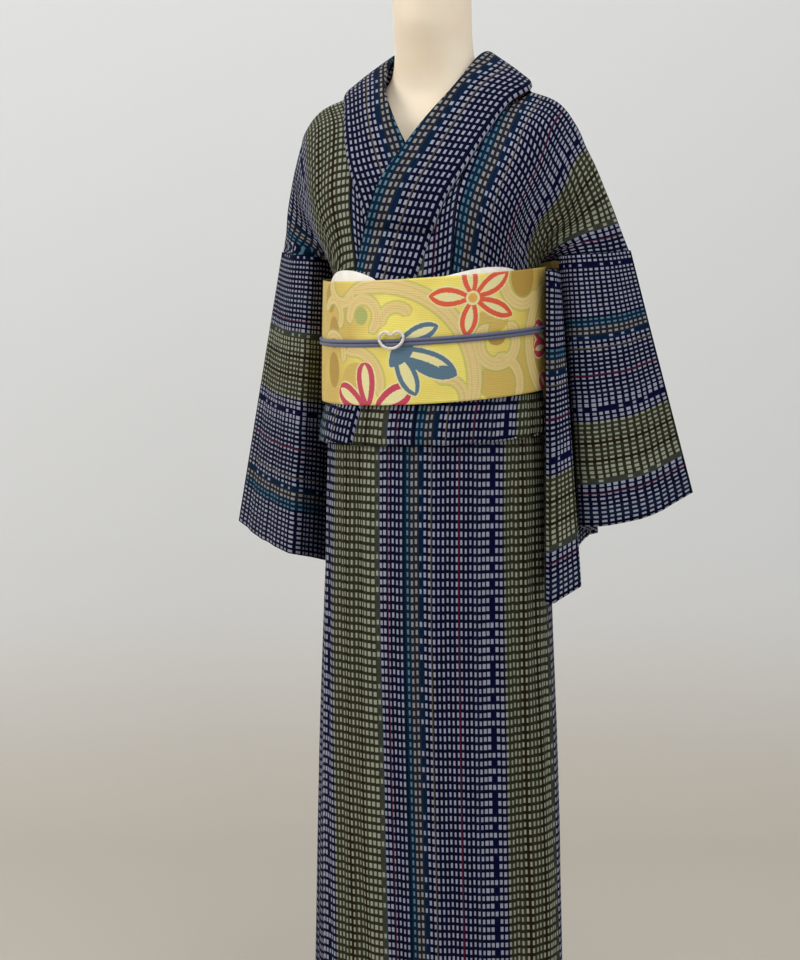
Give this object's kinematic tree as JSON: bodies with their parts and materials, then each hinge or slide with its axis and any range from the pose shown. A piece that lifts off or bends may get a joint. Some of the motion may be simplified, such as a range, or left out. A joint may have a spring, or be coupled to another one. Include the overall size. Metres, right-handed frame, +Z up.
{
  "type": "kimono and dress form",
  "caption": "Full-length kimono with a dot-stripe weave, wrapped closed under a wide patterned belt, on a limbless dress form with a floor base.",
  "frame": {"origin": "centre of the stand base's underside, on the floor", "axes": "+Z up, -Y towards the garment's front, +X towards the wearer's left"},
  "size_m": [0.6368, 0.3205, 1.456],
  "materials": {
    "kasuri": "matte",
    "belt_silk": "satin",
    "crepe": "matte",
    "braid": "satin",
    "pearl": "gloss",
    "form_skin": "satin",
    "steel": "satin"
  },
  "bodies": {
    "root": {"bodice_left": "kasuri", "bodice_right": "kasuri", "okumi_left": "kasuri", "okumi_right": "kasuri", "skirt_left_front": "kasuri", "skirt_left_back": "kasuri", "skirt_left_okumi": "kasuri", "skirt_right_front": "kasuri", "skirt_right_back": "kasuri", "skirt_right_okumi": "kasuri", "collar": "kasuri", "over_collar": "kasuri", "sleeve_left": "kasuri", "sleeve_right": "kasuri", "obi_band": "belt_silk", "obi_drum": "belt_silk", "obi_tail": "belt_silk", "obiage": "crepe", "obijime_upper": "braid", "obijime_lower": "braid", "obidome": "pearl", "dress_form": "form_skin", "stand_pole": "steel", "stand_base": "steel"}
  },
  "joints": []
}
